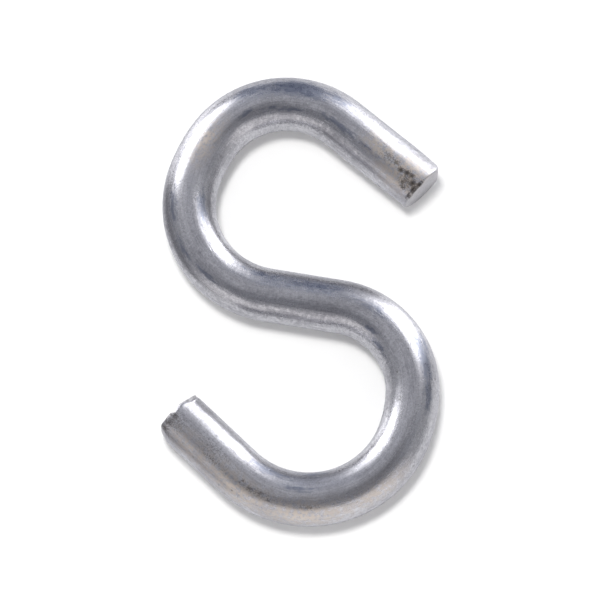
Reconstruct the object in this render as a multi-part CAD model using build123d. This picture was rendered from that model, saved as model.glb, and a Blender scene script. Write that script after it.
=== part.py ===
from build123d import *
from math import radians, tan
import os

# S hook bent from one length of round wire, lying flat on its side.
# +Y runs along the hook towards its upper end, +X to the right and +Z up.
# The origin is on the surface it lies on, under the middle of its outline.
# Sizes are in millimetres and angles in degrees.

# Wire and the straight bar between the two hooks
wire_diameter = 4.5
bar_length = 6.1
bar_fall = 9.5

# Upper hook, from the bar outwards: centreline radius and turn of each bend, then the straight leg
upper_throat_radius = 7.8
upper_throat_turn = 100
upper_crown_radius = 13.0
upper_crown_turn = 15
upper_shoulder_radius = 7.4
upper_shoulder_turn = 95
upper_leg_length = 8.8

# Lower hook, in the same order
lower_throat_radius = 7.2
lower_throat_turn = 83
lower_crown_radius = 11.8
lower_crown_turn = 17
lower_shoulder_radius = 8.4
lower_shoulder_turn = 114.5
lower_leg_length = 7.1

# Upper end: cut a little off square, with a long flat where the cutter pressed on the outside
upper_cut_slant = 5.5
upper_flat_length = 2.6
upper_flat_depth = 0.25
upper_corner_round = 0.6
upper_rim_round = 0.15

# Lower end: sheared, domed towards the inside, with a ledge that is rolled over on the outside
lower_dome_fall = 0.27
lower_dome_round = 2.4
lower_ledge_height = 0.06
lower_ledge_round = 0.35
lower_roll_length = 0.9
lower_roll_width = 0.45
lower_rim_round = 0.3

# Break step across the lower end, where the dome gives way to the ledge: how far outside the
# middle of the wire it is deepest, and how long its slope down from the dome is
step_depth = 0.28
step_offset = 0.34
step_slope_length = 0.7

# Burr that the shear left on the inside rim of the lower end, its middle turned up from the
# innermost point of the rim
burr_height = 0.12
burr_length = 0.4
burr_spread = 44
burr_turn = 45

# Spare wire at each end that the cuts take off
cutting_allowance = 1.5

wire_radius = wire_diameter / 2


def hook_edges(start, heading, bends, leg_length):
    """Centreline of one hook from the bar outwards, and the plane at the end of its leg."""
    edges = []
    for radius, turn in bends:
        bend = JernArc(start, heading, radius, -turn)
        edges.append(bend)
        start, heading = bend @ 1, bend % 1
    leg_end = start + heading * leg_length
    edges.append(Line(start, leg_end + heading * cutting_allowance))
    return edges, Plane(origin=leg_end, x_dir=heading, z_dir=(0, 0, 1))


def centreline():
    """The bar with a hook at each end, and the planes at the ends of the two legs."""
    along_bar = Vector(1, 0, 0).rotate(Axis.Z, -bar_fall)
    bar = Line(along_bar * (-bar_length / 2), along_bar * (bar_length / 2))
    upper_bends = [
        (upper_throat_radius, upper_throat_turn),
        (upper_crown_radius, upper_crown_turn),
        (upper_shoulder_radius, upper_shoulder_turn),
    ]
    lower_bends = [
        (lower_throat_radius, lower_throat_turn),
        (lower_crown_radius, lower_crown_turn),
        (lower_shoulder_radius, lower_shoulder_turn),
    ]
    upper, upper_end = hook_edges(bar @ 0, -along_bar, upper_bends, upper_leg_length)
    lower, lower_end = hook_edges(bar @ 1, along_bar, lower_bends, lower_leg_length)
    return Wire([*upper, bar, *lower]), upper_end, lower_end


def upper_end_line():
    """Outline of the upper end: the slanted cut, rounded into the flat on its outside."""
    slope = tan(radians(upper_cut_slant))
    taper = upper_flat_depth / upper_flat_length
    corner = (wire_radius - upper_flat_depth) / (1 + slope * taper)
    return FilletPolyline(
        (-wire_diameter * slope, -wire_diameter),
        (corner * slope, corner),
        (-2 * upper_flat_length, wire_radius + upper_flat_depth),
        radius=upper_corner_round,
    )


def lower_end_line():
    """Outline of the lower end without its step: the dome, the ledge and the rolled corner."""
    return FilletPolyline(
        (-3 * lower_dome_fall, -wire_diameter),
        (0, -wire_radius / 2),
        (lower_ledge_height, wire_radius - lower_roll_width),
        (-2 * lower_roll_length, wire_radius + lower_roll_width),
        radius=(lower_dome_round, lower_ledge_round),
    )


def waste(end_line, end_plane):
    """Block of spare wire beyond an end's outline, which runs from the inside of the hook to its outside."""
    reach = 2 * cutting_allowance
    first, last = end_line @ 0, end_line @ 1
    back = Polyline(last, (last.X, wire_diameter), (reach, wire_diameter), (reach, first.Y), first)
    return extrude(end_plane * make_face([end_line, back]), wire_diameter, both=True)


def cut_end(hook, end_line, end_plane, rim_round):
    """Cut one leg to its outline and round the rim of the cut."""
    hook -= waste(end_line, end_plane)
    near_end = hook.edges().filter_by(lambda edge: (edge.center() - end_plane.origin).length < wire_diameter)
    rim = near_end.filter_by(GeomType.LINE, reverse=True)
    return hook.fillet(rim_round, rim)


def break_step(end_plane):
    """Wedge that the break took out of the lower end, deepest where it meets the ledge."""
    slope_start = step_offset - step_slope_length
    ledge_start = step_offset + step_depth
    wedge = Polyline(
        (lower_ledge_height, slope_start),
        (-step_depth, step_offset),
        (lower_ledge_height, ledge_start),
        (step_depth, ledge_start),
        (step_depth, slope_start),
        close=True,
    )
    return extrude(end_plane * make_face(wedge), wire_diameter, both=True)


def burr(end_plane):
    """Thin fin around part of the inside rim of the lower end, raised where the shear came out."""
    fin = Polyline(
        (-lower_dome_fall - lower_rim_round - burr_length, -wire_radius + burr_height / 2),
        (-lower_dome_fall + burr_height / 2, -wire_radius - burr_height),
        (-lower_dome_fall, -wire_radius + lower_rim_round),
        close=True,
    )
    leg_axis = Axis(end_plane.origin, end_plane.x_dir)
    ring = revolve(end_plane * make_face(fin), leg_axis, burr_spread)
    return ring.rotate(leg_axis, -burr_turn - burr_spread / 2)


def s_hook():
    """The bent wire with its two cut ends, laid on the ground under the middle of its outline."""
    path, upper_end, lower_end = centreline()
    section = Plane(origin=path @ 0, z_dir=path % 0) * Circle(wire_radius)
    hook = sweep(section, path)
    hook = cut_end(hook, upper_end_line(), upper_end, upper_rim_round)
    hook = cut_end(hook, lower_end_line(), lower_end, lower_rim_round)
    hook -= break_step(lower_end)
    hook += burr(lower_end)
    box = hook.bounding_box()
    return Pos(-box.center().X, -box.center().Y, wire_radius) * hook


os.makedirs("parts", exist_ok=True)
export_step(s_hook(), "parts/s_hook.step")
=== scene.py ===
"""Looks of the s hook: round wire, sheared at both ends, bent cold and zinc plated, on a white table."""
import math
from contextlib import contextmanager

import bmesh
import bpy
from mathutils import Matrix, Quaternion, Vector, noise


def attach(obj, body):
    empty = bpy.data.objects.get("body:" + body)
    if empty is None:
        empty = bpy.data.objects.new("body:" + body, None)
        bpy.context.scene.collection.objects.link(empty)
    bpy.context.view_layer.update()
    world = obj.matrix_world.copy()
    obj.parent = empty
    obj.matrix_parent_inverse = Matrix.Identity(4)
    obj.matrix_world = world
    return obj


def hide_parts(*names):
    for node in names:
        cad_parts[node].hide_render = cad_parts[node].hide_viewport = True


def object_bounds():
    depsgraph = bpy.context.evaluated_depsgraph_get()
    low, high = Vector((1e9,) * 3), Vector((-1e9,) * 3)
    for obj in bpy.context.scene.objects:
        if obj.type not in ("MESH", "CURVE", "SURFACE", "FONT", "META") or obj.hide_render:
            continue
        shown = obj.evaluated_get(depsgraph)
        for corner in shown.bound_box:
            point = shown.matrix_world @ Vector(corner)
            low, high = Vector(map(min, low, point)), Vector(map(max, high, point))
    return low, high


bl_info = {
    "name": "S Hook",
    "version": (1, 0, 0),
    "blender": (4, 5, 0),
    "location": "View3D > Sidebar > S Hook",
    "description": "Models a zinc plated s hook bent from round wire, and the small studio that it lies in",
    "category": "Add Mesh",
}

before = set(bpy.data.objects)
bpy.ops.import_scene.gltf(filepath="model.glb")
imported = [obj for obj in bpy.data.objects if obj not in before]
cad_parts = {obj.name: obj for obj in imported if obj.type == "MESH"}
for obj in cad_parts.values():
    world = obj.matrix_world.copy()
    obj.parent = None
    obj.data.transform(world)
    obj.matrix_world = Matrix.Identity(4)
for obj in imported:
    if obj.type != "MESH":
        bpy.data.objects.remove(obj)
CAD_LOW, CAD_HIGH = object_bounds()
MM = 0.001
PIECE = "s_hook_wire"
PLACE = "place_before_bending"
SHEARED = "sheared"
GRIME_AND_RIM_SHADE = "grime_and_rim_shade"
STAIN = "stain"
FILM_AND_REFLECTION = "blue_film_and_painted_reflection"
WORN = "worn"

# How much thinner the wire is than the solid, so that its rough ends too stay inside the solid's box
CLEARANCE = 0.03 * MM

# The straight wire's mesh: its sides, the spacing in mm of the rings on an end face from the rim inwards,
# the cuts made twice over between its ends, and how far from an end the rings along it are closer
WIRE_SIDES = 128
END_FACE_RINGS = (
    0.02, 0.02, 0.03, 0.03, 0.04, 0.05, 0.06, 0.08, 0.10, 0.12, 0.14, 0.16, 0.18, 0.20, 0.22, 0.24, 0.26)
RING_CUTS = 19
END_RING_CUTS = 2
END_ZONE = 2.8 * MM

# How far into the wire the shape of an end face is felt, and how fast that fades
END_DEPTH = 2.7 * MM
END_FADE = 1.5

# Height of the roughness of the two end faces, and the sizes of its coarse and fine bumps
LOWER_ROUGHNESS = 0.02 * MM
UPPER_ROUGHNESS = 0.012 * MM
COARSE_BUMP = 0.35 * MM
FINE_BUMP = 0.14 * MM

# Shares of the wire's radius between which marks on an end face fade out towards its middle
MARKS_GONE = 0.6
MARKS_FULL = 0.95

# Marks that the hook carries, a few of them painted shade and painted reflection, each as mm along the wire
# from its lower end, degrees round it from the side that is on the left on the way to the upper end, length
# and width in mm, and strength
# Dirty spots, save the narrow ones at 81.9 to 82.0 mm, which are painted shade on the upper cut's rim
GRIME_AND_RIM_SHADE_SPOTS = (
    (79.9, 103, 0.6, 0.45, 0.62), (80.5, 100, 0.7, 0.5, 0.62), (81.0, 99, 0.6, 0.5, 0.58),
    (79.2, 97, 0.9, 0.6, 0.44), (81.5, 110, 0.7, 0.7, 0.6), (81.9, 120, 0.4, 1.0, 0.6),
    (81.9, 138, 0.35, 0.9, 0.52), (82.0, 104, 0.35, 0.9, 0.54), (80.7, 122, 0.9, 0.6, 0.46),
    (81.0, 130, 0.9, 0.6, 0.44), (80.9, 112, 2.2, 1.6, 0.37), (78.4, 96, 2.2, 1.1, 0.35),
    (5.0, 100, 5.5, 2.0, 0.25), (1.0, 112, 2.4, 2.0, 0.27), (0.2, 104, 1.0, 1.0, 0.40),
    (0.25, 122, 0.9, 1.0, 0.44), (0.25, 142, 0.8, 0.9, 0.40), (8.95, 115, 0.6, 0.4, 0.5),
    (9.9, 113, 0.5, 0.4, 0.5), (8.2, 108, 0.4, 0.35, 0.46), (10.6, 120, 0.6, 0.35, 0.44),
    (9.6, 114, 3.2, 0.9, 0.34), (5.2, 118, 4.0, 0.6, 0.32), (13.4, 120, 2.6, 0.5, 0.36),
    (28.9, 58, 0.9, 0.25, 0.45), (26.3, 64, 0.8, 0.25, 0.4), (27.6, 128, 1.8, 0.35, 0.4),
    (43.9, 124, 0.4, 0.3, 0.4), (41.3, 118, 0.5, 0.3, 0.4), (38.8, 115, 0.4, 0.3, 0.4),
)
STAIN_SPOTS = (
    (60.2, 88, 3.4, 1.2, 1.2), (80.4, 106, 3.6, 2.3, 1.6), (77.6, 94, 2.8, 1.3, 1.3),
    (3.2, 132, 4.5, 1.6, 0.9), (8.0, 132, 6.0, 1.8, 1.1), (13.0, 138, 6.0, 1.8, 1.1),
    (18.4, 134, 4.0, 1.4, 0.8),
)
# Blue spots, partly the plating's own tint and partly painted reflection of dark bands at the horizon
FILM_AND_REFLECTION_SPOTS = (
    (65.4, 58, 2.4, 1.0, 0.9), (69.2, 66, 3.6, 1.3, 1.1), (72.0, 62, 2.6, 1.0, 0.8),
    (54.4, 53, 2.4, 0.7, 0.8), (54.0, 118, 3.0, 0.8, 0.8), (45.2, 121, 3.4, 0.6, 0.7),
    (40.0, 114, 4.0, 0.7, 0.8), (35.0, 98, 3.4, 0.8, 0.6), (29.4, 125, 3.4, 0.8, 1.0),
    (26.9, 127, 2.6, 0.7, 0.8), (9.6, 58, 3.4, 0.8, 0.8), (14.0, 38, 3.6, 0.7, 0.7),
    (64.2, 103, 1.8, 0.4, 0.8), (66.6, 111, 1.6, 0.4, 0.7), (68.4, 117, 2.0, 0.4, 0.8),
    (73.4, 110, 3.0, 0.45, 0.9), (76.6, 110, 2.0, 0.4, 0.8), (34.2, 56, 1.4, 0.5, 0.9),
    (32.4, 43, 1.8, 0.5, 0.9), (30.6, 141, 2.0, 0.5, 0.8), (51.4, 49, 2.4, 0.5, 0.7),
    (48.8, 55, 2.2, 0.5, 0.7), (12.6, 82, 2.8, 0.5, 0.7),
)
WORN_SPOTS = (
    (3.0, 80, 9.0, 4.5, 0.8), (80.5, 90, 5.0, 4.0, 0.8), (60.5, 88, 7.0, 2.0, 0.9), (14.0, 80, 8.0, 2.5, 0.6),
)

# Sizes of what the finish shows: clouds of dullness, mottling, swell, grain, drawn lines, dirty flakes that
# also break up the painted rim shade, streaks of blue tint and painted reflection, scratches, pits, and the
# patches that hold the scratches and the pits
CLOUD_SIZE = 2.2 * MM
MOTTLE_SIZE = 0.34 * MM
SWELL_SIZE = 1.1 * MM
GRAIN_SIZE = 0.13 * MM
LINE_SIZE = 0.09 * MM
FLAKE_SIZE = 0.13 * MM
STREAK_SIZE = 0.15 * MM
SCRATCH_SPACING = 0.8 * MM
SCRATCH_PATCH = 1.7 * MM
PIT_SPACING = 0.75 * MM
PIT_PATCH = 2.6 * MM

# Heights of the same, and depths of the scratches and pits
SWELL_HEIGHT = 0.025 * MM
MOTTLE_HEIGHT = 0.007 * MM
GRAIN_HEIGHT = 0.003 * MM
LINE_HEIGHT = 0.008 * MM
WEAR_HEIGHT = 0.008 * MM
SCRATCH_DEPTH = 0.004 * MM
PIT_DEPTH = 0.008 * MM

# Tint of the metal's gloss where it is seen edge-on
EDGE_TINT = (0.85, 0.855, 0.88, 1)

# Table: its radius, its paint, and the painted shade that it has on the left as the metal shows it, with the
# places where that shade starts and is full
TABLE_RADIUS = 1.3
TABLE_WHITE = (0.95, 0.945, 0.925, 1)
TABLE_PAINTED_SHADE = (0.16, 0.16, 0.17, 1)
TABLE_SHADE_START = -12.5 * MM
TABLE_SHADE_END = -18 * MM

# Tent: its radius, its own grey, the tones laid over it in turn, and where in degrees its dark opening is
TENT_RADIUS = 1.25
TENT_GREY = (0.33, 0.34, 0.37, 1)
TENT_OVERHEAD = (0.55, 0.555, 0.585, 1)
TENT_FRONT = (0.25, 0.255, 0.28, 1)
TENT_BACK = (0.64, 0.65, 0.69, 1)
TENT_GAP = (0.22, 0.25, 0.33, 1)
TENT_RIGHT = (0.43, 0.435, 0.45, 1)
TENT_LEFT = (0.42, 0.425, 0.45, 1)
TENT_CARD = (1.0, 0.98, 0.98, 1)
TENT_OPENING = (0.20, 0.20, 0.215, 1)
OPENING_AZIMUTH, OPENING_ELEVATION = 118, 71

# Soft boxes: distance from the hook, and for each its name, its four azimuths and four elevations in
# degrees, between which it fades in and out, and how many degrees its right side is raised
BOX_DISTANCE = 0.55
SOFT_BOXES = (
    ("left_box", (-68, -56, -42, -26), (-2, 14, 30, 46), 26),
    ("right_box", (18, 32, 44, 62), (-6, 8, 36, 68), 0),
)

# Lamp: azimuth and elevation in degrees, distance and width. Camera: width of its sensor in mm, how near
# and how far it sees, and the place that it looks at
LAMP_AZIMUTH, LAMP_ELEVATION = -50, 81
LAMP_DISTANCE = 0.9
LAMP_WIDTH = 0.22
SENSOR_WIDTH = 36
CLIP_START, CLIP_END = 0.01, 10
AIM = Vector((-0.036, 0.04, 2.25)) * MM


class HookSizes(bpy.types.PropertyGroup):
    """Driving sizes of the hook, measured along the wire from its lower end to its upper end."""

    wire_diameter: bpy.props.FloatProperty(
        name="Wire Diameter", description="Diameter of the round wire, as high as the hook lies",
        default=CAD_HIGH.z - CAD_LOW.z - CLEARANCE, unit="LENGTH", precision=5)
    bar_length: bpy.props.FloatProperty(
        name="Bar Length", description="Straight wire between the two hooks",
        default=6.1 * MM, unit="LENGTH", precision=5)
    bar_fall: bpy.props.FloatProperty(
        name="Bar Fall", description="How far the bar falls to the right of level",
        default=math.radians(9.5), subtype="ANGLE")
    upper_radii: bpy.props.FloatVectorProperty(
        name="Upper Radii", description="Centreline radii of the upper throat, crown and shoulder",
        default=(7.8 * MM, 13.0 * MM, 7.4 * MM), unit="LENGTH", precision=5)
    upper_turns: bpy.props.FloatVectorProperty(
        name="Upper Turns", description="Turns of the upper throat, crown and shoulder",
        default=(math.radians(100), math.radians(15), math.radians(95)), subtype="EULER")
    upper_leg: bpy.props.FloatProperty(
        name="Upper Leg", description="Straight leg at the upper end",
        default=8.8 * MM, unit="LENGTH", precision=5)
    lower_radii: bpy.props.FloatVectorProperty(
        name="Lower Radii", description="Centreline radii of the lower throat, crown and shoulder",
        default=(7.2 * MM, 11.8 * MM, 8.4 * MM), unit="LENGTH", precision=5)
    lower_turns: bpy.props.FloatVectorProperty(
        name="Lower Turns", description="Turns of the lower throat, crown and shoulder",
        default=(math.radians(83), math.radians(17), math.radians(114.5)), subtype="EULER")
    lower_leg: bpy.props.FloatProperty(
        name="Lower Leg", description="Straight leg at the lower end",
        default=7.1 * MM, unit="LENGTH", precision=5)
    cut_slant: bpy.props.FloatProperty(
        name="Cut Slant", description="How far the upper cut is off square, its outside being longer",
        default=math.radians(5.5), subtype="ANGLE")
    flat_length: bpy.props.FloatProperty(
        name="Flat Length", description="Length of the flat pressed on the outside of the upper end",
        default=2.6 * MM, unit="LENGTH", precision=5)
    flat_depth: bpy.props.FloatProperty(
        name="Flat Depth", description="Depth of that flat at the cut",
        default=0.25 * MM, unit="LENGTH", precision=5)
    dome_fall: bpy.props.FloatProperty(
        name="Dome Fall", description="Fall of the lower end towards the inside of the hook",
        default=0.27 * MM, unit="LENGTH", precision=5)
    ledge_height: bpy.props.FloatProperty(
        name="Ledge Height", description="Height of the ledge on the outer half of the lower end",
        default=0.06 * MM, unit="LENGTH", precision=5)
    roll_length: bpy.props.FloatProperty(
        name="Roll Length", description="How far the outer corner of the lower end is rolled back",
        default=0.9 * MM, unit="LENGTH", precision=5)
    roll_width: bpy.props.FloatProperty(
        name="Roll Width", description="Width of that rolled corner across the wire",
        default=0.45 * MM, unit="LENGTH", precision=5)
    step_depth: bpy.props.FloatProperty(
        name="Step Depth", description="Depth of the break step across the lower end",
        default=0.28 * MM, unit="LENGTH", precision=5)
    step_offset: bpy.props.FloatProperty(
        name="Step Offset", description="How far outside the middle of the wire the break step is deepest",
        default=0.34 * MM, unit="LENGTH", precision=5)
    step_slope_length: bpy.props.FloatProperty(
        name="Step Slope Length", description="Length of the break step's slope down from the dome",
        default=0.7 * MM, unit="LENGTH", precision=5)
    burr_height: bpy.props.FloatProperty(
        name="Burr Height", description="How far the burr stands out from the inside rim of the lower end",
        default=0.12 * MM, unit="LENGTH", precision=5)
    burr_spread: bpy.props.FloatProperty(
        name="Burr Spread", description="How much of the rim the burr takes up",
        default=math.radians(48), subtype="ANGLE")
    burr_turn: bpy.props.FloatProperty(
        name="Burr Turn",
        description="How far the burr's middle is turned up from the innermost point of the rim",
        default=math.radians(45), subtype="ANGLE")
    corner_round: bpy.props.FloatProperty(
        name="Corner Round", description="Radius of the corner between the flat and the upper cut",
        default=0.6 * MM, unit="LENGTH", precision=5)
    upper_rim_round: bpy.props.FloatProperty(
        name="Upper Rim Round", description="Radius of the rim of the upper cut",
        default=0.15 * MM, unit="LENGTH", precision=5)
    lower_rim_round: bpy.props.FloatProperty(
        name="Lower Rim Round", description="Radius of the rim of the lower cut",
        default=0.3 * MM, unit="LENGTH", precision=5)


class HookFinish(bpy.types.PropertyGroup):
    """Colours and roughness of the plating."""

    zinc: bpy.props.FloatVectorProperty(
        name="Zinc", description="Colour of the bright plating",
        default=(0.655, 0.653, 0.69), subtype="COLOR", size=3)
    dull_zinc: bpy.props.FloatVectorProperty(
        name="Dull Zinc", description="Colour where the plating has dulled",
        default=(0.25, 0.247, 0.275), subtype="COLOR", size=3)
    stain: bpy.props.FloatVectorProperty(
        name="Stain", description="Colour of the tan stains",
        default=(0.64, 0.575, 0.52), subtype="COLOR", size=3)
    # Partly the plating's own blue tint, partly painted reflection of dark bands at the horizon
    film_and_reflection: bpy.props.FloatVectorProperty(
        name="Film", description="Colour of the thin blue film that the plating bath left in patches",
        default=(0.26, 0.275, 0.335), subtype="COLOR", size=3)
    sheared: bpy.props.FloatVectorProperty(
        name="Sheared", description="Colour of the two sheared faces",
        default=(0.62, 0.605, 0.62), subtype="COLOR", size=3)
    # Colour of dirty spots and pits, and also of the painted shade along the rim of the upper cut
    grime_and_rim_shade: bpy.props.FloatVectorProperty(
        name="Grime", description="Colour of the dirt near the ends and in the pits",
        default=(0.06, 0.05, 0.045), subtype="COLOR", size=3)
    roughness: bpy.props.FloatProperty(
        name="Roughness", description="Roughness of the brightest plating",
        default=0.21, min=0.0, max=1.0, subtype="FACTOR")


class HookStudio(bpy.types.PropertyGroup):
    """Camera and lights."""

    camera_tilt: bpy.props.FloatProperty(
        name="Camera Tilt",
        description="How far the camera stands from straight above, towards the front",
        default=math.radians(15), subtype="ANGLE")
    camera_distance: bpy.props.FloatProperty(
        name="Camera Distance", description="Distance from the camera to the hook",
        default=0.6, unit="LENGTH")
    picture_width: bpy.props.FloatProperty(
        name="Picture Width", description="Width of what the camera sees at the hook",
        default=49.82 * MM, unit="LENGTH", precision=5)
    left_box: bpy.props.FloatProperty(
        name="Left Box", description="Brightness of the soft box at the back left", default=7.5, min=0.0)
    right_box: bpy.props.FloatProperty(
        name="Right Box", description="Brightness of the soft box at the back right", default=5.2, min=0.0)
    overhead: bpy.props.FloatProperty(
        name="Overhead", description="Power of the lamp over the table", default=5.0, unit="POWER")
    tent_level: bpy.props.FloatProperty(
        name="Tent Level", description="Brightness of the grey tent over the table", default=1.0, min=0.0)
    table_glow: bpy.props.FloatProperty(
        name="Table Glow", description="What the white table adds to its own light where it is seen",
        default=0.13, min=0.0, max=1.0)


# Selecting and editing

def only(piece):
    """Make one object the only selected one and the active one."""
    bpy.ops.object.select_all(action="DESELECT")
    piece.select_set(True)
    bpy.context.view_layer.objects.active = piece


@contextmanager
def editing(piece):
    """Edit mode on one piece, with nothing selected."""
    only(piece)
    bpy.ops.object.mode_set(mode="EDIT")
    bpy.ops.mesh.select_mode(type="FACE")
    bpy.ops.mesh.select_all(action="DESELECT")
    yield
    bpy.ops.object.mode_set(mode="OBJECT")


def select_where(piece, kind, test):
    """Select the piece's parts of one kind, EDGE or FACE, that pass a test, and nothing else."""
    bpy.ops.mesh.select_mode(type=kind)
    bpy.ops.mesh.select_all(action="DESELECT")
    mesh = bmesh.from_edit_mesh(piece.data)
    for part in mesh.edges if kind == "EDGE" else mesh.faces:
        if test(part):
            part.select_set(True)
    bmesh.update_edit_mesh(piece.data)


# The wire's route

def route(sizes):
    """Runs and bends from the lower end to the upper end: (length, None) or (radius, turn to the left)."""
    lower = list(zip(sizes.lower_radii, sizes.lower_turns))
    upper = zip(sizes.upper_radii, sizes.upper_turns)
    return [
        (sizes.lower_leg, None), *reversed(lower), (sizes.bar_length, None),
        *((radius, -turn) for radius, turn in upper), (sizes.upper_leg, None)]


def route_length(sizes):
    """Length of the wire along its centreline."""
    return sum(size if turn is None else size * abs(turn) for size, turn in route(sizes))


def towards(heading):
    """Level unit vector at an angle from the right."""
    return Vector((math.cos(heading), math.sin(heading), 0))


def lay_route(sizes):
    """The centreline as a curve, with a knot at each end of a run and at least every knot_turn of a bend."""
    knot_turn = math.radians(30)
    heading = math.pi - sizes.bar_fall - sum(sizes.lower_turns)
    place = Vector((0, 0, 0))
    knots = [[place.copy(), place.copy(), place.copy()]]
    for size, turn in route(sizes):
        pieces = 1 if turn is None else math.ceil(abs(turn) / knot_turn)
        for _ in range(pieces):
            ahead = towards(heading)
            if turn is None:
                handle = size / 3
                step = ahead * size
            else:
                part = turn / pieces
                handle = 4 / 3 * math.tan(abs(part) / 4) * size
                step = towards(heading + part / 2) * 2 * size * math.sin(abs(part) / 2)
                heading += part
            knots[-1][2] = place + ahead * handle
            place = place + step
            ahead = towards(heading)
            knots.append([place - ahead * handle, place.copy(), place + ahead * handle])
    curve = bpy.data.curves.new("route", "CURVE")
    curve.dimensions = "2D"
    curve.resolution_u = 48
    spline = curve.splines.new("BEZIER")
    spline.bezier_points.add(len(knots) - 1)
    for knot, (before, co, after) in zip(spline.bezier_points, knots):
        knot.handle_left_type = knot.handle_right_type = "FREE"
        knot.co, knot.handle_left, knot.handle_right = co, before, after
    path = bpy.data.objects.new("route", curve)
    bpy.context.scene.collection.objects.link(path)
    return path


# The straight wire and its ends

def along_wire(edge):
    """Whether an edge runs along the straight wire."""
    start, end = (vertex.co for vertex in edge.verts)
    return abs(start.x - end.x) > 1e-7 and (start - end).yz.length < 1e-7


def straight_wire(sizes):
    """A straight round wire from x = 0, with fine rings along it and round each end face."""
    radius = sizes.wire_diameter / 2
    length = route_length(sizes)
    bpy.ops.object.select_all(action="DESELECT")
    bpy.ops.mesh.primitive_cylinder_add(
        vertices=WIRE_SIDES, radius=radius, depth=length, end_fill_type="NGON",
        location=(length / 2, 0, 0), rotation=(0, math.pi / 2, 0))
    wire = bpy.context.object
    wire.name = wire.data.name = PIECE
    bpy.ops.object.transform_apply(location=True, rotation=True, scale=True)
    with editing(wire):
        select_where(wire, "FACE", lambda face: abs(face.normal.x) > 0.9)
        for spacing in END_FACE_RINGS:
            bpy.ops.mesh.inset(thickness=spacing * MM, use_individual=True)
        bpy.ops.mesh.poke()
        for _ in range(2):
            select_where(wire, "EDGE", along_wire)
            bpy.ops.mesh.subdivide(number_cuts=RING_CUTS)
        select_where(wire, "EDGE", lambda edge: along_wire(edge) and not all(
            END_ZONE < vertex.co.x < length - END_ZONE for vertex in edge.verts))
        bpy.ops.mesh.subdivide(number_cuts=END_RING_CUTS)
    return wire


def soft_least(*values, softness=0.06 * MM):
    """The least of several lengths, rounded where they cross."""
    least = min(values)
    return least - softness * math.log(sum(math.exp((least - value) / softness) for value in values))


def round_fall(reach, edge, rounding):
    """How far a rounded edge has fallen back at a reach towards the edge."""
    into = min(max(0.0, reach - (edge - rounding)), rounding)
    return rounding - math.sqrt(rounding ** 2 - into ** 2)


def roughness_of_break(place, depth):
    """Small uneven height of a broken face."""
    return depth * (noise.noise(place / COARSE_BUMP) + 0.5 * noise.noise(place / FINE_BUMP))


def lower_end_height(outward, from_axis, sizes):
    """Height of the lower end face at a place across the wire.

    It is the dome, ledge and rolled corner with their round rim, less the wedge that the break took out.
    """
    radius = sizes.wire_diameter / 2
    shelf = radius - sizes.roll_width
    dome = 3 * sizes.dome_fall * (outward + radius / 2) / (sizes.wire_diameter - radius / 2)
    ledge = sizes.ledge_height * (outward + radius / 2) / (shelf + radius / 2)
    roll_slope = (2 * sizes.roll_length + sizes.ledge_height) / (2 * sizes.roll_width)
    roll = sizes.ledge_height - roll_slope * (outward - shelf)
    whole = soft_least(dome, ledge, roll) - round_fall(from_axis, radius, sizes.lower_rim_round)
    past_step = outward - sizes.step_offset
    rise = sizes.ledge_height + sizes.step_depth
    slope = -sizes.step_depth - rise * past_step / sizes.step_slope_length
    riser = -sizes.step_depth + rise * past_step / sizes.step_depth
    return soft_least(whole, max(slope, riser), softness=0.02 * MM)


def shape_lower_end(wire, sizes):
    """Dome, break step, ledge and rolled corner of the lower end, at x = 0 with its outside towards -y."""
    for vertex in wire.data.vertices:
        fade = 1 - vertex.co.x / END_DEPTH
        if fade > 0:
            height = lower_end_height(-vertex.co.y, vertex.co.yz.length, sizes)
            height += roughness_of_break(vertex.co, LOWER_ROUGHNESS)
            vertex.co.x -= height * fade ** END_FADE


def raise_burr(wire, sizes):
    """Thin ragged fin drawn out of part of the inside rim of the lower end, leaning over the end."""
    radius = sizes.wire_diameter / 2
    rim_start = radius - sizes.lower_rim_round
    reach = sizes.dome_fall + 1.2 * sizes.lower_rim_round
    foot = Vector((sizes.dome_fall, rim_start))
    heel = Vector((sizes.dome_fall + sizes.lower_rim_round, radius + 0.02 * MM))
    for vertex in wire.data.vertices:
        from_axis = vertex.co.yz.length
        aside = abs(math.atan2(vertex.co.z, vertex.co.y) - sizes.burr_turn) / (sizes.burr_spread / 2)
        if vertex.co.x < reach and aside < 1 and from_axis > rim_start:
            ragged = 1 + 0.45 * noise.noise(Vector((vertex.co.z / (0.3 * MM), 0.7, 0.2)))
            crest = Vector((sizes.dome_fall - sizes.burr_height / 2, radius + sizes.burr_height * ragged))
            up_rim = 2 * (from_axis - rim_start) / sizes.lower_rim_round
            drawn = foot.lerp(crest, up_rim) if up_rim < 1 else crest.lerp(heel, up_rim - 1)
            place = Vector((vertex.co.x, from_axis)).lerp(drawn, min(1.0, 3 * (1 - aside)))
            vertex.co.x = place.x
            vertex.co.yz = vertex.co.yz * (place.y / from_axis)


def shape_upper_end(wire, sizes):
    """Slanted cut and pressed flat of the upper end, at the wire's far end with its outside towards +y."""
    radius = sizes.wire_diameter / 2
    length = route_length(sizes)
    for vertex in wire.data.vertices:
        before_end = length - vertex.co.x
        fade = 1 - before_end / END_DEPTH
        if fade > 0:
            from_axis = vertex.co.yz.length
            pressed = radius - sizes.flat_depth * (1 - before_end / sizes.flat_length)
            vertex.co.y = soft_least(vertex.co.y, pressed, softness=0.03 * MM)
            height = vertex.co.y * math.tan(sizes.cut_slant)
            height += roughness_of_break(vertex.co, UPPER_ROUGHNESS)
            height -= round_fall(from_axis, radius, sizes.upper_rim_round)
            height -= round_fall(vertex.co.y, radius - sizes.flat_depth, sizes.corner_round)
            vertex.co.x += height * fade ** END_FADE


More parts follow.
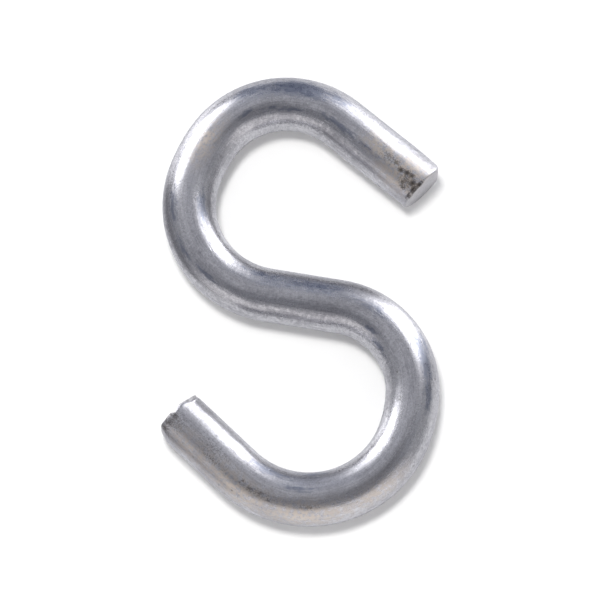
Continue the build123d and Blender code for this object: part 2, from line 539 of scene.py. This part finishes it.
def mark_place(wire):
    """Attribute with each point's place on the straight wire, which the finish follows round the bends."""
    layer = wire.data.attributes.new(PLACE, "FLOAT_VECTOR", "POINT")
    for vertex, value in zip(wire.data.vertices, layer.data):
        value.vector = vertex.co


def mark_sheared(wire, sizes):
    """Attribute that is 1 on the two end faces inside their rims, and 0 on the drawn surface."""
    length = route_length(sizes)
    face_radius = sizes.wire_diameter / 2 - 0.05 * MM
    layer = wire.data.attributes.new(SHEARED, "FLOAT", "POINT")
    for vertex, value in zip(wire.data.vertices, layer.data):
        from_end = min(vertex.co.x, length - vertex.co.x)
        value.value = 1.0 if from_end < 0.01 * MM and vertex.co.yz.length < face_radius else 0.0


def mark_spots(wire, name, spots):
    """Attribute with each spot's strength, which fades towards the spot's edge and inside an end's rim."""
    radius = CAD_HIGH.z / 2
    layer = wire.data.attributes.new(name, "FLOAT", "POINT")
    for vertex, value in zip(wire.data.vertices, layer.data):
        turn = math.degrees(math.atan2(vertex.co.z, vertex.co.y))
        from_axis = vertex.co.yz.length / radius
        near_rim = min(1.0, max(0.0, (from_axis - MARKS_GONE) / (MARKS_FULL - MARKS_GONE)))
        strongest = 0.0
        for along, round_wire, length, width, strength in spots:
            ahead = (vertex.co.x / MM - along) / length
            aside = math.radians((turn - round_wire + 180) % 360 - 180) * radius / MM / width
            strongest = max(strongest, strength * (1 - math.hypot(ahead, aside)))
        value.value = strongest * near_rim


def bend_wire(wire, sizes):
    """Bend the straight wire along its route, and lay it where the frame has it."""
    path = lay_route(sizes)
    bend = wire.modifiers.new("bend", "CURVE")
    bend.object = path
    bend.deform_axis = "POS_X"
    only(wire)
    bpy.ops.object.modifier_apply(modifier="bend")
    bpy.data.objects.remove(path)
    corners = [vertex.co for vertex in wire.data.vertices]
    low = Vector(min(co[axis] for co in corners) for axis in range(3))
    high = Vector(max(co[axis] for co in corners) for axis in range(3))
    wire.data.transform(Matrix.Translation((CAD_LOW + CAD_HIGH) / 2 - (low + high) / 2))


class SHOOK_OT_wire(bpy.types.Operator):
    """Model the bent wire with its two cut ends, and give it its plated finish."""

    bl_idname = "shook.wire"
    bl_label = "Bent Wire"

    def execute(self, context):
        sizes = context.scene.hook_sizes
        wire = straight_wire(sizes)
        mark_place(wire)
        mark_sheared(wire, sizes)
        for name, spots in (
                (GRIME_AND_RIM_SHADE, GRIME_AND_RIM_SHADE_SPOTS), (STAIN, STAIN_SPOTS), (FILM_AND_REFLECTION, FILM_AND_REFLECTION_SPOTS), (WORN, WORN_SPOTS)):
            mark_spots(wire, name, spots)
        shape_lower_end(wire, sizes)
        raise_burr(wire, sizes)
        shape_upper_end(wire, sizes)
        bend_wire(wire, sizes)
        only(wire)
        bpy.ops.object.shade_smooth_by_angle(angle=math.radians(50))
        wire.data.materials.append(zinc_plating(context.scene.hook_finish))
        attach(wire, "root")
        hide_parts("s_hook")
        return {"FINISHED"}


# Node helpers

def node(tree, kind, into=None, **settings):
    """Add a node with its settings, and link or set what `into` holds by socket name or number."""
    made = tree.nodes.new(kind)
    for name, value in settings.items():
        setattr(made, name, value)
    for socket, value in (into or {}).items():
        if isinstance(value, bpy.types.NodeSocket):
            tree.links.new(value, made.inputs[socket])
        else:
            made.inputs[socket].default_value = value
    return made


def maths(tree, operation, *values, clamp=False):
    """Output of a math node."""
    into = dict(enumerate(values))
    return node(tree, "ShaderNodeMath", into, operation=operation, use_clamp=clamp).outputs[0]


def weighted(tree, total, *parts):
    """A value with others added to it, each times its weight."""
    for value, weight in parts:
        total = maths(tree, "MULTIPLY_ADD", value, weight, total)
    return total


def step_between(tree, value, low, high):
    """Goes smoothly from 0 where the value is low to 1 where it is high."""
    into = {"Value": value, "From Min": low, "From Max": high}
    return node(tree, "ShaderNodeMapRange", into, interpolation_type="SMOOTHSTEP").outputs["Result"]


def blend(tree, factor, first, second):
    """Colour between two colours."""
    into = {"Factor": factor, 6: first, 7: second}
    return node(tree, "ShaderNodeMix", into, data_type="RGBA").outputs[2]


def new_material(name):
    """An empty node material: its tree and its output node."""
    material = bpy.data.materials.new(name)
    material.use_nodes = True
    material.node_tree.nodes.clear()
    return material, material.node_tree, material.node_tree.nodes.new("ShaderNodeOutputMaterial")


def new_group(name, inputs, outputs):
    """A shader node group with named sockets: its tree and its input and output nodes."""
    tree = bpy.data.node_groups.new(name, "ShaderNodeTree")
    for socket, kind in inputs:
        tree.interface.new_socket(name=socket, in_out="INPUT", socket_type=kind)
    for socket, kind in outputs:
        tree.interface.new_socket(name=socket, in_out="OUTPUT", socket_type=kind)
    return tree, tree.nodes.new("NodeGroupInput"), tree.nodes.new("NodeGroupOutput")


def noise_at(tree, place, size, detail=2.0, roughness=0.5, stretch=1.0):
    """Noise whose features are about `size` metres, longer along the wire by `stretch`."""
    scale = (1 / stretch, 1, 1)
    moved = node(tree, "ShaderNodeMapping", {"Vector": place, "Scale": scale}).outputs["Vector"]
    into = {"Vector": moved, "Scale": 1 / size, "Detail": detail, "Roughness": roughness}
    return node(tree, "ShaderNodeTexNoise", into).outputs["Fac"]


# The plated finish

def uneven_plating():
    """Group: where the plating is dull, its mottling and grain, and its uneven height in metres."""
    tree, given, result = new_group(
        "uneven_plating",
        [("Place", "NodeSocketVector")],
        [("Dull", "NodeSocketFloat"), ("Mottle", "NodeSocketFloat"), ("Grain", "NodeSocketFloat"),
         ("Height", "NodeSocketFloat")])
    place = given.outputs["Place"]
    cloud = noise_at(tree, place, CLOUD_SIZE, detail=3.0, stretch=2.0)
    mottle = noise_at(tree, place, MOTTLE_SIZE, detail=3.0, roughness=0.65)
    swell = noise_at(tree, place, SWELL_SIZE, detail=1.0, stretch=1.6)
    grain = noise_at(tree, place, GRAIN_SIZE, detail=1.0)
    tree.links.new(step_between(tree, cloud, 0.38, 0.66), result.inputs["Dull"])
    tree.links.new(step_between(tree, mottle, 0.30, 0.72), result.inputs["Mottle"])
    tree.links.new(step_between(tree, grain, 0.30, 0.70), result.inputs["Grain"])
    height = weighted(tree, 0.0, (swell, SWELL_HEIGHT), (mottle, MOTTLE_HEIGHT), (grain, GRAIN_HEIGHT))
    tree.links.new(height, result.inputs["Height"])
    return tree


def drawn_lines():
    """Group: fine lines that the drawing die left along the wire."""
    tree, given, result = new_group(
        "drawn_lines",
        [("Place", "NodeSocketVector")],
        [("Lines", "NodeSocketFloat"), ("Height", "NodeSocketFloat")])
    fine = noise_at(tree, given.outputs["Place"], LINE_SIZE, stretch=30.0)
    tree.links.new(step_between(tree, fine, 0.40, 0.64), result.inputs["Lines"])
    tree.links.new(maths(tree, "MULTIPLY", fine, LINE_HEIGHT), result.inputs["Height"])
    return tree


def handling_marks():
    """Group: short thin scratches and small dark pits, each in patches."""
    tree, given, result = new_group(
        "handling_marks",
        [("Place", "NodeSocketVector")],
        [("Scratches", "NodeSocketFloat"), ("Pits", "NodeSocketFloat")])
    place = given.outputs["Place"]
    into = {"Vector": place, "Rotation": (0.5, 0.4, 0.6), "Scale": (0.14, 1, 1)}
    turned = node(tree, "ShaderNodeMapping", into).outputs["Vector"]
    into = {"Vector": turned, "Scale": 1 / SCRATCH_SPACING, "Randomness": 1.0}
    borders = node(tree, "ShaderNodeTexVoronoi", into, feature="DISTANCE_TO_EDGE").outputs["Distance"]
    patches = step_between(tree, noise_at(tree, place, SCRATCH_PATCH), 0.53, 0.62)
    scratches = maths(tree, "MULTIPLY", step_between(tree, borders, 0.035, 0.0), patches)
    tree.links.new(scratches, result.inputs["Scratches"])
    into = {"Vector": place, "Scale": 1 / PIT_SPACING, "Randomness": 1.0}
    dots = node(tree, "ShaderNodeTexVoronoi", into, feature="F1").outputs["Distance"]
    patches = step_between(tree, noise_at(tree, place, PIT_PATCH, detail=1.0), 0.55, 0.66)
    pits = maths(tree, "MULTIPLY", step_between(tree, dots, 0.16, 0.07), patches)
    tree.links.new(pits, result.inputs["Pits"])
    return tree


def zinc_plating(finish):
    """Bright zinc over drawn wire, dull in patches, dirty near the ends and bare where it was sheared.

    The dark line on the upper cut's rim is painted shade, and some blue streaks are painted reflection.
    """
    material, tree, output = new_material("zinc_plating")
    place = node(tree, "ShaderNodeAttribute", attribute_name=PLACE).outputs["Vector"]
    sheared, grime_and_rim_shade, stain, film_and_reflection, worn = (
        node(tree, "ShaderNodeAttribute", attribute_name=name).outputs["Fac"]
        for name in (SHEARED, GRIME_AND_RIM_SHADE, STAIN, FILM_AND_REFLECTION, WORN))
    plating, lines, marks = (
        node(tree, "ShaderNodeGroup", {"Place": place}, node_tree=group).outputs
        for group in (uneven_plating(), drawn_lines(), handling_marks()))

    flakes = noise_at(tree, place, FLAKE_SIZE, detail=3.0, roughness=0.65)
    # Dark mask from dirty spots and flakes, which also lays painted shade along the upper cut's rim
    dirt_and_rim_shade = step_between(tree, weighted(tree, grime_and_rim_shade, (flakes, 0.9)), 0.62, 0.82)
    dirt_and_rim_shade_cover = maths(tree, "MULTIPLY", dirt_and_rim_shade, maths(tree, "MULTIPLY", grime_and_rim_shade, 1.7), clamp=True)
    stain_cover = maths(tree, "MULTIPLY", stain, step_between(tree, plating["Mottle"], 0.0, 0.8), clamp=True)
    # Blue mask, partly the plating's tint and partly painted reflection of dark bands at the horizon
    streaks = noise_at(tree, place, STREAK_SIZE, detail=3.0, roughness=0.65, stretch=4.0)
    film_and_reflection_cover = step_between(tree, weighted(tree, film_and_reflection, (streaks, 1.6)), 1.0, 1.5)

    dullness = weighted(
        tree, 0.0, (plating["Dull"], 0.25), (plating["Mottle"], 0.30), (plating["Grain"], 0.25),
        (lines["Lines"], 0.20))
    colour = blend(tree, dullness, (*finish.zinc, 1), (*finish.dull_zinc, 1))
    for cover, tone in (
            (film_and_reflection_cover, finish.film_and_reflection), (stain_cover, finish.stain),
            (maths(tree, "MULTIPLY", sheared, 0.6), finish.sheared),
            (maths(tree, "MULTIPLY", marks["Pits"], 0.45), finish.grime_and_rim_shade),
            (dirt_and_rim_shade_cover, finish.grime_and_rim_shade)):
        colour = blend(tree, cover, colour, (*tone, 1))

    rough = weighted(
        tree, finish.roughness, (plating["Mottle"], 0.10), (plating["Dull"], 0.06), (sheared, 0.16),
        (maths(tree, "MINIMUM", worn, 1.0), 0.13), (dirt_and_rim_shade, 0.3))
    height = weighted(
        tree, plating["Height"], (lines["Height"], 1.0),
        (maths(tree, "MULTIPLY", worn, flakes), WEAR_HEIGHT),
        (marks["Scratches"], -SCRATCH_DEPTH), (marks["Pits"], -PIT_DEPTH))
    bump = node(tree, "ShaderNodeBump", {"Height": height, "Distance": 1.0, "Strength": 1.0})

    shader = node(tree, "ShaderNodeBsdfPrincipled", {
        "Metallic": 1.0, "Base Color": colour, "Roughness": rough, "Normal": bump.outputs["Normal"],
        "Specular Tint": EDGE_TINT})
    tree.links.new(shader.outputs["BSDF"], output.inputs["Surface"])
    return material


# Studio

def outwards(azimuth, elevation):
    """Direction from the hook, its azimuth counted from the back towards the right."""
    flat = math.cos(elevation)
    return Vector((math.sin(azimuth) * flat, math.cos(azimuth) * flat, math.sin(elevation)))


def table_top(glow):
    """A white glossy table that keeps the hook's shadow, with painted shade to the left that only the metal
    shows.
    """
    bpy.ops.object.select_all(action="DESELECT")
    bpy.ops.mesh.primitive_circle_add(
        vertices=96, radius=TABLE_RADIUS, fill_type="NGON", location=(0, 0, 0))
    table = bpy.context.object
    table.name = "table_top"
    material, tree, output = new_material("table_white")
    path = node(tree, "ShaderNodeLightPath").outputs
    where = node(tree, "ShaderNodeTexCoord").outputs["Object"]
    across = node(tree, "ShaderNodeSeparateXYZ", {0: where}).outputs[0]
    from_hook = node(tree, "ShaderNodeVectorMath", {0: where}, operation="LENGTH").outputs["Value"]
    # Painted shade on the left of the table, seen only in the metal's reflection
    left_shade = step_between(tree, across, TABLE_SHADE_START, TABLE_SHADE_END)
    painted_shade = maths(tree, "MULTIPLY", path["Is Glossy Ray"], left_shade)
    colour = blend(tree, painted_shade, TABLE_WHITE, TABLE_PAINTED_SHADE)
    paint = node(tree, "ShaderNodeBsdfPrincipled", {"Base Color": colour, "Roughness": 0.08, "IOR": 1.75})

    # The glow is full where the camera or glass sees it. In the metal it grows with distance, and fades
    # with the painted shade.
    in_metal = weighted(tree, 0.4, (step_between(tree, from_hook, 0.04, 0.5), 3.0))
    in_metal = maths(tree, "MULTIPLY", in_metal, maths(tree, "SUBTRACT", 1.0, painted_shade))
    seen = maths(tree, "MAXIMUM", path["Is Camera Ray"], path["Is Transmission Ray"])
    seen = maths(tree, "MULTIPLY_ADD", path["Is Glossy Ray"], in_metal, seen)
    light = node(tree, "ShaderNodeEmission", {"Strength": maths(tree, "MULTIPLY", seen, glow)})
    both = node(tree, "ShaderNodeAddShader", {0: paint.outputs["BSDF"], 1: light.outputs["Emission"]})
    tree.links.new(both.outputs["Shader"], output.inputs["Surface"])
    table.data.materials.append(material)
    return table


def tent(level):
    """The grey tent over the table: lighter overhead, with a dark opening, and pale low at the front."""
    bpy.ops.object.select_all(action="DESELECT")
    bpy.ops.mesh.primitive_uv_sphere_add(segments=64, ring_count=32, radius=TENT_RADIUS)
    dome = bpy.context.object
    dome.name = "tent"
    with editing(dome):
        bpy.ops.mesh.select_all(action="SELECT")
        bpy.ops.mesh.bisect(plane_co=(0, 0, 0), plane_no=(0, 0, 1), clear_inner=True)
    dome.visible_camera = False
    dome.visible_shadow = False
    material, tree, output = new_material("tent_grey")

    # Each tone has its edges at two lengths of the direction's part to the right, to the back or up
    where = node(tree, "ShaderNodeTexCoord").outputs["Object"]
    way = node(tree, "ShaderNodeVectorMath", {0: where}, operation="NORMALIZE").outputs[0]
    right, back, up = node(tree, "ShaderNodeSeparateXYZ", {0: way}).outputs
    overhead = step_between(tree, weighted(tree, up, (right, -0.4)), 0.55, 1.0)
    behind = step_between(tree, back, 0.30, 0.60)
    middle = step_between(tree, maths(tree, "ABSOLUTE", right), 0.27, 0.08)
    low = step_between(tree, weighted(tree, up, (right, -0.13)), 0.58, 0.49)
    before = step_between(tree, weighted(tree, back, (right, -0.08)), -0.30, -0.60)
    opening = outwards(math.radians(OPENING_AZIMUTH), math.radians(OPENING_ELEVATION))
    into = {0: way, 1: opening}
    to_opening = node(tree, "ShaderNodeVectorMath", into, operation="DOT_PRODUCT").outputs["Value"]
    colour = TENT_GREY
    for share, tone in (
            (overhead, TENT_OVERHEAD),
            (step_between(tree, back, -0.12, -0.42), TENT_FRONT),
            (behind, TENT_BACK),
            (maths(tree, "MULTIPLY", behind, middle), TENT_GAP),
            (step_between(tree, right, 0.55, 0.95), TENT_RIGHT),
            (step_between(tree, right, -0.55, -0.90), TENT_LEFT),
            (maths(tree, "MULTIPLY", low, before), TENT_CARD),
            (step_between(tree, to_opening, 0.925, 0.992), TENT_OPENING)):
        colour = blend(tree, share, colour, tone)
    light = node(tree, "ShaderNodeEmission", {"Color": colour, "Strength": level})
    tree.links.new(light.outputs["Emission"], output.inputs["Surface"])
    dome.data.materials.append(material)
    return dome


def soft_edges(tree, value, low, full_low, full_high, high):
    """Share that rises smoothly from low to full_low, and falls from full_high to high."""
    rise = step_between(tree, value, low, full_low)
    fall = step_between(tree, value, high, full_high)
    return maths(tree, "POWER", maths(tree, "MULTIPLY", rise, fall), 2.0)


def soft_box(name, azimuths, elevations, lean, level):
    """A soft box that shows in the metal.

    Of its four azimuths and four elevations in degrees, it is dark at the first and the last, and full
    between the two in the middle. Its right side is raised by the lean.
    """
    middles, halves, edges = [], [], []
    for angles in (azimuths, elevations):
        middle, half = (angles[0] + angles[3]) / 2, (angles[3] - angles[0]) / 2
        middles.append(math.radians(middle))
        halves.append(BOX_DISTANCE * math.tan(math.radians(half)))
        edges.append([(angle - middle) / half for angle in angles])
    out = outwards(*middles)
    bpy.ops.object.select_all(action="DESELECT")
    facing = (-out).to_track_quat("Z", "Y") @ Quaternion((0, 0, 1), -lean)
    bpy.ops.mesh.primitive_plane_add(size=2, location=out * BOX_DISTANCE, rotation=facing.to_euler())
    box = bpy.context.object
    box.name = name
    box.scale = (halves[0], halves[1], 1)
    box.visible_camera = box.visible_diffuse = box.visible_shadow = False
    material, tree, output = new_material(name + "_cloth")
    where = node(tree, "ShaderNodeTexCoord").outputs["Object"]
    across, upright, _ = node(tree, "ShaderNodeSeparateXYZ", {0: where}).outputs
    across = maths(tree, "MULTIPLY", across, -1.0)
    full = maths(
        tree, "MULTIPLY", soft_edges(tree, across, *edges[0]), soft_edges(tree, upright, *edges[1]))
    light = node(tree, "ShaderNodeEmission", {"Strength": level})
    clear = node(tree, "ShaderNodeBsdfTransparent")
    shade = node(tree, "ShaderNodeMixShader", {0: full, 1: clear.outputs[0], 2: light.outputs[0]})
    tree.links.new(shade.outputs[0], output.inputs["Surface"])
    box.data.materials.append(material)
    return box


def overhead_lamp(energy):
    """A round lamp high over the hook, a little to the back left, whose light casts the shadow."""
    out = outwards(math.radians(LAMP_AZIMUTH), math.radians(LAMP_ELEVATION))
    lamp = bpy.data.lights.new("overhead", "AREA")
    lamp.shape = "DISK"
    lamp.size = LAMP_WIDTH
    lamp.energy = energy
    hung = bpy.data.objects.new("overhead", lamp)
    hung.location = out * LAMP_DISTANCE
    hung.rotation_euler = out.to_track_quat("Z", "Y").to_euler()
    hung.visible_camera = hung.visible_glossy = False
    bpy.context.scene.collection.objects.link(hung)


def white_world():
    """A plain white world, which shows only past the edge of the table."""
    world = bpy.data.worlds.new("white")
    world.use_nodes = True
    background = world.node_tree.nodes["Background"]
    background.inputs["Color"].default_value = (1, 1, 1, 1)
    background.inputs["Strength"].default_value = 1.0
    bpy.context.scene.world = world


def photo_camera(studio):
    """A long lens that looks down on the hook."""
    tilt = studio.camera_tilt
    lens = bpy.data.cameras.new("camera")
    lens.sensor_width = SENSOR_WIDTH
    lens.lens = SENSOR_WIDTH * studio.camera_distance / studio.picture_width
    lens.clip_start, lens.clip_end = CLIP_START, CLIP_END
    camera = bpy.data.objects.new("camera", lens)
    camera.location = AIM + Vector((0, -math.sin(tilt), math.cos(tilt))) * studio.camera_distance
    camera.rotation_euler = (tilt, 0, 0)
    bpy.context.scene.collection.objects.link(camera)
    bpy.context.scene.camera = camera


class SHOOK_OT_studio(bpy.types.Operator):
    """Set up the table, tent, soft boxes, lamp and camera."""

    bl_idname = "shook.studio"
    bl_label = "Studio"

    def execute(self, context):
        studio = context.scene.hook_studio
        boxes = [
            soft_box(name, azimuths, elevations, math.radians(lean), getattr(studio, name))
            for name, azimuths, elevations, lean in SOFT_BOXES]
        table_top(studio.table_glow)
        tent(studio.tent_level)
        overhead_lamp(studio.overhead)
        white_world()
        photo_camera(studio)
        context.scene.view_settings.view_transform = "Standard"
        return {"FINISHED"}


class SHOOK_PT_panel(bpy.types.Panel):
    """Lists the settings of the hook and of its studio, each over the step that reads them."""

    bl_idname = "SHOOK_PT_panel"
    bl_label = "S Hook"
    bl_space_type = "VIEW_3D"
    bl_region_type = "UI"
    bl_category = "S Hook"

    def draw(self, context):
        scene = context.scene
        for operator, groups in (
                (SHOOK_OT_wire, (scene.hook_sizes, scene.hook_finish)),
                (SHOOK_OT_studio, (scene.hook_studio,))):
            for group in groups:
                for name in type(group).__annotations__:
                    self.layout.prop(group, name)
            self.layout.operator(operator.bl_idname)


CLASSES = (HookSizes, HookFinish, HookStudio, SHOOK_OT_wire, SHOOK_OT_studio, SHOOK_PT_panel)


def register():
    """Register the classes and hang the settings on the scene."""
    for cls in CLASSES:
        bpy.utils.register_class(cls)
    bpy.types.Scene.hook_sizes = bpy.props.PointerProperty(type=HookSizes)
    bpy.types.Scene.hook_finish = bpy.props.PointerProperty(type=HookFinish)
    bpy.types.Scene.hook_studio = bpy.props.PointerProperty(type=HookStudio)


def unregister():
    """Take the settings and the classes away again."""
    del bpy.types.Scene.hook_studio
    del bpy.types.Scene.hook_finish
    del bpy.types.Scene.hook_sizes
    for cls in reversed(CLASSES):
        bpy.utils.unregister_class(cls)


def main():
    register()
    bpy.ops.shook.wire()
    bpy.ops.shook.studio()


if __name__ == "__main__":
    main()
